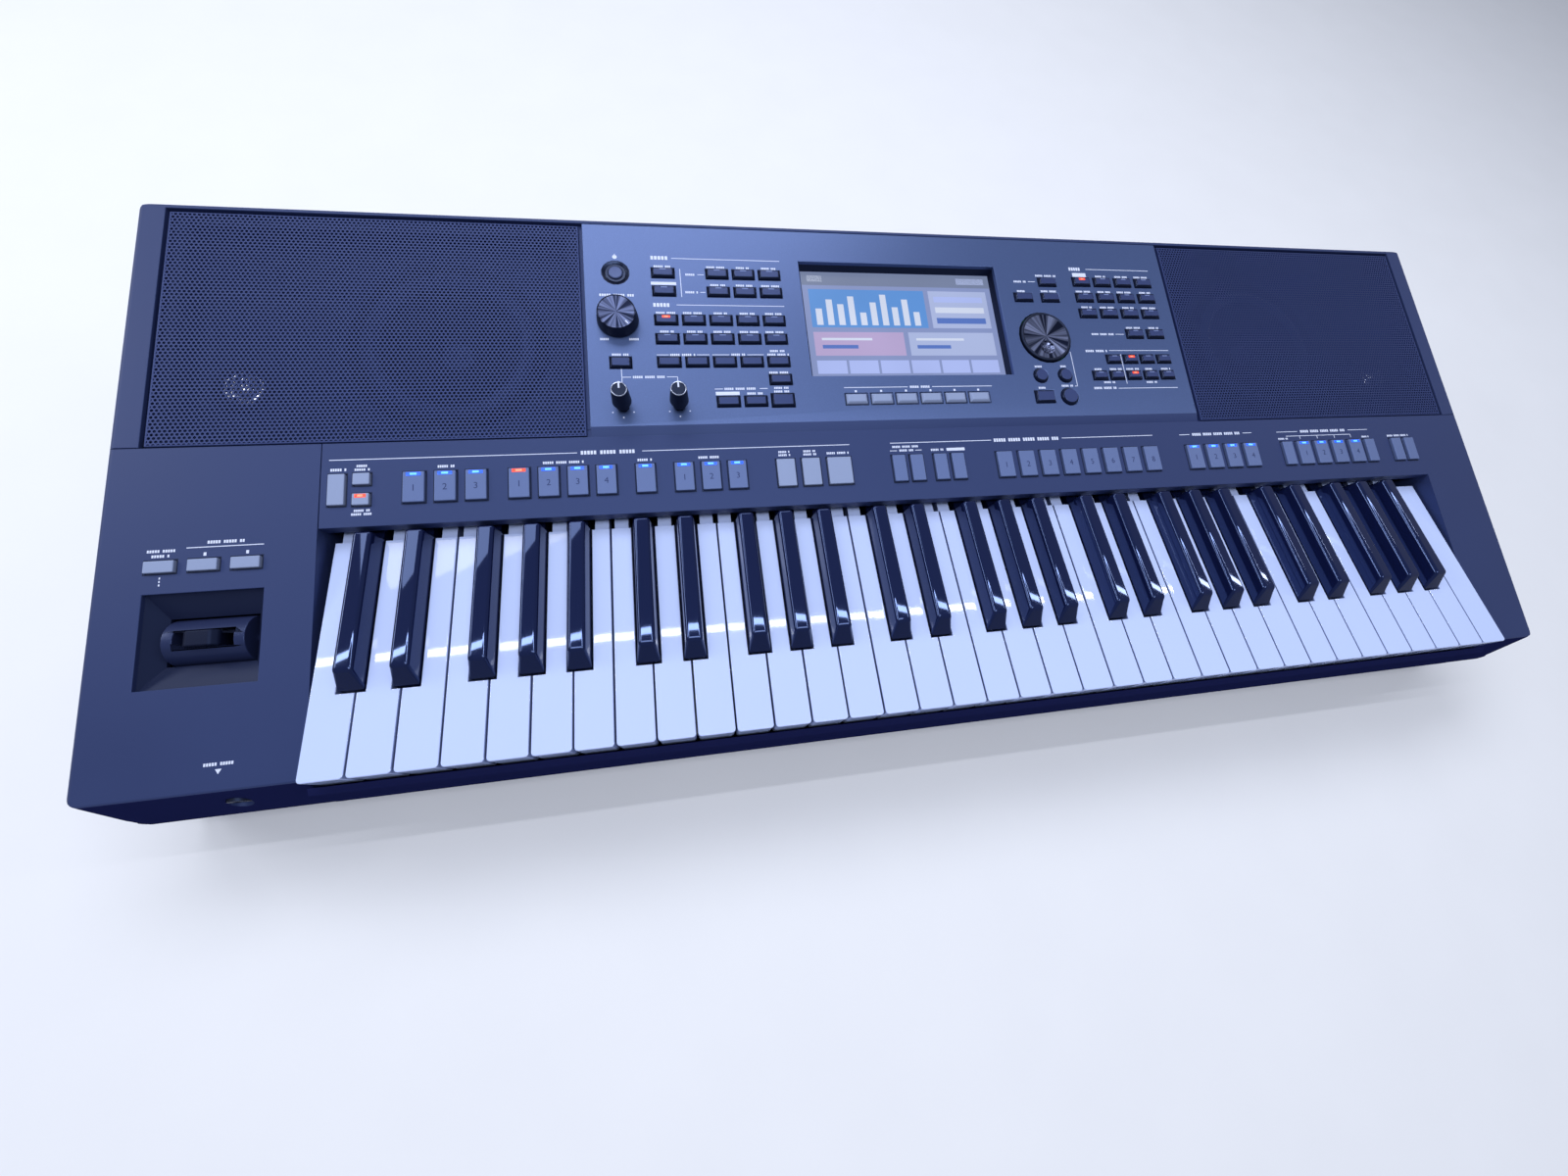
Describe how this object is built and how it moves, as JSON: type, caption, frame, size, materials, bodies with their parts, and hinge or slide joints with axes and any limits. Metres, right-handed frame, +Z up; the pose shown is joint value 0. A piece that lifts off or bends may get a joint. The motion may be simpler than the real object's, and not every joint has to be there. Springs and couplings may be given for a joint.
{
  "type": "arranger keyboard",
  "caption": "Portable arranger keyboard with full-size piano keys, a sloping control deck with touch screen, knobs and buttons, grilled speakers at both ends and a joystick.",
  "frame": {"origin": "middle of the footprint on the surface that the feet stand on", "axes": "+X to the player's right along the keys, +Y to the back, +Z up"},
  "size_m": [1.017, 0.431, 0.1387],
  "materials": {
    "case_plastic": "fine moulded texture",
    "fascia_finish": "metallic satin paint",
    "bezel_plastic": "gloss black",
    "screen_glass": "lit touch panel under clear film",
    "grille_steel": "perforated steel, satin dark paint",
    "speaker_cone": "paper cone with rubber surround",
    "frame_steel": "folded steel, zinc coat",
    "rod_steel": "bright drawn bar",
    "circuit_board": "green solder mask",
    "plate_steel": "black satin",
    "socket_plastic": "black moulding",
    "foot_rubber": "matte",
    "screw_steel": "black zinc",
    "joystick_plastic": "satin moulding",
    "joystick_grip": "soft-touch",
    "knob_metal": "spun face, dark anodised",
    "knob_rubber": "soft-touch black",
    "natural_plastic": "polished",
    "sharp_plastic": "polished black",
    "button_grey": "satin",
    "button_light": "satin",
    "button_dark": "satin black"
  },
  "bodies": {
    "case": {"bottom_case": "case_plastic", "front_deck": "case_plastic", "left_end_block": "case_plastic", "upper_frame": "case_plastic", "fascia_panel": "fascia_finish", "display_bezel": "bezel_plastic", "display_screen": "screen_glass", "left_speaker_grille": "grille_steel", "right_speaker_grille": "grille_steel", "woofers": "speaker_cone", "tweeters": "speaker_cone", "key_frame": "frame_steel", "key_pivot_rod": "rod_steel", "main_board": "circuit_board", "panel_boards": "circuit_board", "jack_plate": "plate_steel", "phone_sockets": "socket_plastic", "data_sockets": "socket_plastic", "rubber_feet": "foot_rubber", "case_screws": "screw_steel", "joystick_housing": "joystick_plastic"},
    "octave_1_cegb": {"octave_1_cegb": "natural_plastic"},
    "octave_1_dfa": {"octave_1_dfa": "natural_plastic"},
    "octave_1_sharps": {"octave_1_sharps": "sharp_plastic"},
    "octave_2_cegb": {"octave_2_cegb": "natural_plastic"},
    "octave_2_dfa": {"octave_2_dfa": "natural_plastic"},
    "octave_2_sharps": {"octave_2_sharps": "sharp_plastic"},
    "octave_3_cegb": {"octave_3_cegb": "natural_plastic"},
    "octave_3_dfa": {"octave_3_dfa": "natural_plastic"},
    "octave_3_sharps": {"octave_3_sharps": "sharp_plastic"},
    "octave_4_cegb": {"octave_4_cegb": "natural_plastic"},
    "octave_4_dfa": {"octave_4_dfa": "natural_plastic"},
    "octave_4_sharps": {"octave_4_sharps": "sharp_plastic"},
    "octave_5_cegb": {"octave_5_cegb": "natural_plastic"},
    "octave_5_dfa": {"octave_5_dfa": "natural_plastic"},
    "octave_5_sharps": {"octave_5_sharps": "sharp_plastic"},
    "style_utility_buttons": {"style_utility_buttons": "button_light"},
    "intro_buttons": {"intro_buttons": "button_grey"},
    "main_break_buttons": {"main_break_buttons": "button_grey"},
    "ending_buttons": {"ending_buttons": "button_grey"},
    "sync_start_buttons": {"sync_start_buttons": "button_light"},
    "registration_buttons": {"registration_buttons": "button_grey"},
    "one_touch_buttons": {"one_touch_buttons": "button_grey"},
    "multi_pad_buttons": {"multi_pad_buttons": "button_grey"},
    "octave_buttons": {"octave_buttons": "button_grey"},
    "cheek_buttons": {"cheek_buttons": "button_light"},
    "song_buttons": {"song_buttons": "button_dark"},
    "style_buttons": {"style_buttons": "button_dark"},
    "tempo_buttons": {"tempo_buttons": "button_dark"},
    "assignable_buttons": {"assignable_buttons": "button_light"},
    "menu_buttons": {"menu_buttons": "button_dark"},
    "voice_buttons": {"voice_buttons": "button_dark"},
    "part_buttons": {"part_buttons": "button_dark"},
    "power_button": {"power_button": "button_dark"},
    "volume_knob": {"volume_knob": "knob_metal"},
    "live_knob_1": {"live_knob_1": "knob_rubber"},
    "live_knob_2": {"live_knob_2": "knob_rubber"},
    "data_dial": {"data_dial": "knob_metal"},
    "joystick_barrel": {"joystick_barrel": "joystick_plastic"},
    "joystick_lever": {"joystick_lever": "joystick_grip"}
  },
  "joints": [
    {"name": "joystick_rock", "type": "hinge", "parent": "case", "child": "joystick_barrel", "pos_m": [-0.453, -0.1191, 0.07444], "axis": [1, 0, 0], "range_deg": [-20, 20], "stiffness_Nm_per_rad": 0.08},
    {"name": "joystick_swing", "type": "hinge", "parent": "joystick_barrel", "child": "joystick_lever", "pos_m": [-0.453, -0.1191, 0.07444], "axis": [0, 0.9848, 0.1736], "range_deg": [-18, 18], "stiffness_Nm_per_rad": 0.08},
    {"name": "volume_knob_turn", "type": "hinge", "parent": "case", "child": "volume_knob", "pos_m": [-0.2158, 0.07837, 0.12499], "axis": [0, -0.1736, 0.9848], "range_deg": [0, 300]},
    {"name": "live_knob_1_turn", "type": "hinge", "parent": "case", "child": "live_knob_1", "pos_m": [-0.2156, 0.01328, 0.11352], "axis": [0, -0.1736, 0.9848], "range_deg": [-140, 140]},
    {"name": "live_knob_2_turn", "type": "hinge", "parent": "case", "child": "live_knob_2", "pos_m": [-0.1778, 0.01328, 0.11352], "axis": [0, -0.1736, 0.9848], "range_deg": [-140, 140]},
    {"name": "data_dial_turn", "type": "hinge", "parent": "case", "child": "data_dial", "pos_m": [0.1144, 0.06646, 0.12289], "axis": [0, -0.1736, 0.9848], "continuous": true},
    {"name": "power_press", "type": "slide", "parent": "case", "child": "power_button", "axis": [0, 0.1736, -0.9848], "range_m": [0, 0.0015], "stiffness_N_per_m": 700, "springref_m": -0.002},
    {"name": "octave_1_cegb_hinge", "type": "hinge", "parent": "case", "child": "octave_1_cegb", "pos_m": [0, -0.0025, 0.0735], "axis": [1, 0, 0], "range_deg": [0, 2.65], "stiffness_Nm_per_rad": 2, "springref_deg": -34.38},
    {"name": "octave_1_dfa_hinge", "type": "hinge", "parent": "case", "child": "octave_1_dfa", "pos_m": [0, -0.0025, 0.0735], "axis": [1, 0, 0], "range_deg": [0, 2.65], "stiffness_Nm_per_rad": 1.5, "springref_deg": -34.38},
    {"name": "octave_1_sharps_hinge", "type": "hinge", "parent": "case", "child": "octave_1_sharps", "pos_m": [0, -0.0025, 0.0735], "axis": [1, 0, 0], "range_deg": [0, 2.65], "stiffness_Nm_per_rad": 2.5, "springref_deg": -34.38},
    {"name": "octave_2_cegb_hinge", "type": "hinge", "parent": "case", "child": "octave_2_cegb", "pos_m": [0, -0.0025, 0.0735], "axis": [1, 0, 0], "range_deg": [0, 2.65], "stiffness_Nm_per_rad": 2, "springref_deg": -34.38},
    {"name": "octave_2_dfa_hinge", "type": "hinge", "parent": "case", "child": "octave_2_dfa", "pos_m": [0, -0.0025, 0.0735], "axis": [1, 0, 0], "range_deg": [0, 2.65], "stiffness_Nm_per_rad": 1.5, "springref_deg": -34.38},
    {"name": "octave_2_sharps_hinge", "type": "hinge", "parent": "case", "child": "octave_2_sharps", "pos_m": [0, -0.0025, 0.0735], "axis": [1, 0, 0], "range_deg": [0, 2.65], "stiffness_Nm_per_rad": 2.5, "springref_deg": -34.38},
    {"name": "octave_3_cegb_hinge", "type": "hinge", "parent": "case", "child": "octave_3_cegb", "pos_m": [0, -0.0025, 0.0735], "axis": [1, 0, 0], "range_deg": [0, 2.65], "stiffness_Nm_per_rad": 2, "springref_deg": -34.38},
    {"name": "octave_3_dfa_hinge", "type": "hinge", "parent": "case", "child": "octave_3_dfa", "pos_m": [0, -0.0025, 0.0735], "axis": [1, 0, 0], "range_deg": [0, 2.65], "stiffness_Nm_per_rad": 1.5, "springref_deg": -34.38},
    {"name": "octave_3_sharps_hinge", "type": "hinge", "parent": "case", "child": "octave_3_sharps", "pos_m": [0, -0.0025, 0.0735], "axis": [1, 0, 0], "range_deg": [0, 2.65], "stiffness_Nm_per_rad": 2.5, "springref_deg": -34.38},
    {"name": "octave_4_cegb_hinge", "type": "hinge", "parent": "case", "child": "octave_4_cegb", "pos_m": [0, -0.0025, 0.0735], "axis": [1, 0, 0], "range_deg": [0, 2.65], "stiffness_Nm_per_rad": 2, "springref_deg": -34.38},
    {"name": "octave_4_dfa_hinge", "type": "hinge", "parent": "case", "child": "octave_4_dfa", "pos_m": [0, -0.0025, 0.0735], "axis": [1, 0, 0], "range_deg": [0, 2.65], "stiffness_Nm_per_rad": 1.5, "springref_deg": -34.38},
    {"name": "octave_4_sharps_hinge", "type": "hinge", "parent": "case", "child": "octave_4_sharps", "pos_m": [0, -0.0025, 0.0735], "axis": [1, 0, 0], "range_deg": [0, 2.65], "stiffness_Nm_per_rad": 2.5, "springref_deg": -34.38},
    {"name": "octave_5_cegb_hinge", "type": "hinge", "parent": "case", "child": "octave_5_cegb", "pos_m": [0, -0.0025, 0.0735], "axis": [1, 0, 0], "range_deg": [0, 2.65], "stiffness_Nm_per_rad": 2, "springref_deg": -34.38},
    {"name": "octave_5_dfa_hinge", "type": "hinge", "parent": "case", "child": "octave_5_dfa", "pos_m": [0, -0.0025, 0.0735], "axis": [1, 0, 0], "range_deg": [0, 2.65], "stiffness_Nm_per_rad": 1.5, "springref_deg": -34.38},
    {"name": "octave_5_sharps_hinge", "type": "hinge", "parent": "case", "child": "octave_5_sharps", "pos_m": [0, -0.0025, 0.0735], "axis": [1, 0, 0], "range_deg": [0, 2.65], "stiffness_Nm_per_rad": 2.5, "springref_deg": -34.38},
    {"name": "style_utility_buttons_press", "type": "slide", "parent": "case", "child": "style_utility_buttons", "axis": [0, 0.1736, -0.9848], "range_m": [0, 0.001], "stiffness_N_per_m": 900, "springref_m": -0.002},
    {"name": "intro_buttons_press", "type": "slide", "parent": "case", "child": "intro_buttons", "axis": [0, 0.1736, -0.9848], "range_m": [0, 0.001], "stiffness_N_per_m": 900, "springref_m": -0.002},
    {"name": "main_break_buttons_press", "type": "slide", "parent": "case", "child": "main_break_buttons", "axis": [0, 0.1736, -0.9848], "range_m": [0, 0.001], "stiffness_N_per_m": 900, "springref_m": -0.002},
    {"name": "ending_buttons_press", "type": "slide", "parent": "case", "child": "ending_buttons", "axis": [0, 0.1736, -0.9848], "range_m": [0, 0.001], "stiffness_N_per_m": 900, "springref_m": -0.002},
    {"name": "sync_start_buttons_press", "type": "slide", "parent": "case", "child": "sync_start_buttons", "axis": [0, 0.1736, -0.9848], "range_m": [0, 0.001], "stiffness_N_per_m": 900, "springref_m": -0.002},
    {"name": "registration_buttons_press", "type": "slide", "parent": "case", "child": "registration_buttons", "axis": [0, 0.1736, -0.9848], "range_m": [0, 0.001], "stiffness_N_per_m": 900, "springref_m": -0.002},
    {"name": "one_touch_buttons_press", "type": "slide", "parent": "case", "child": "one_touch_buttons", "axis": [0, 0.1736, -0.9848], "range_m": [0, 0.001], "stiffness_N_per_m": 900, "springref_m": -0.002},
    {"name": "multi_pad_buttons_press", "type": "slide", "parent": "case", "child": "multi_pad_buttons", "axis": [0, 0.1736, -0.9848], "range_m": [0, 0.001], "stiffness_N_per_m": 900, "springref_m": -0.002},
    {"name": "octave_buttons_press", "type": "slide", "parent": "case", "child": "octave_buttons", "axis": [0, 0.1736, -0.9848], "range_m": [0, 0.001], "stiffness_N_per_m": 900, "springref_m": -0.002},
    {"name": "cheek_buttons_press", "type": "slide", "parent": "case", "child": "cheek_buttons", "axis": [0, 0.1736, -0.9848], "range_m": [0, 0.001], "stiffness_N_per_m": 900, "springref_m": -0.002},
    {"name": "song_buttons_press", "type": "slide", "parent": "case", "child": "song_buttons", "axis": [0, 0.1736, -0.9848], "range_m": [0, 0.001], "stiffness_N_per_m": 900, "springref_m": -0.002},
    {"name": "style_buttons_press", "type": "slide", "parent": "case", "child": "style_buttons", "axis": [0, 0.1736, -0.9848], "range_m": [0, 0.001], "stiffness_N_per_m": 900, "springref_m": -0.002},
    {"name": "tempo_buttons_press", "type": "slide", "parent": "case", "child": "tempo_buttons", "axis": [0, 0.1736, -0.9848], "range_m": [0, 0.001], "stiffness_N_per_m": 900, "springref_m": -0.002},
    {"name": "assignable_buttons_press", "type": "slide", "parent": "case", "child": "assignable_buttons", "axis": [0, 0.1736, -0.9848], "range_m": [0, 0.001], "stiffness_N_per_m": 900, "springref_m": -0.002},
    {"name": "menu_buttons_press", "type": "slide", "parent": "case", "child": "menu_buttons", "axis": [0, 0.1736, -0.9848], "range_m": [0, 0.001], "stiffness_N_per_m": 900, "springref_m": -0.002},
    {"name": "voice_buttons_press", "type": "slide", "parent": "case", "child": "voice_buttons", "axis": [0, 0.1736, -0.9848], "range_m": [0, 0.001], "stiffness_N_per_m": 900, "springref_m": -0.002},
    {"name": "part_buttons_press", "type": "slide", "parent": "case", "child": "part_buttons", "axis": [0, 0.1736, -0.9848], "range_m": [0, 0.001], "stiffness_N_per_m": 900, "springref_m": -0.002}
  ]
}
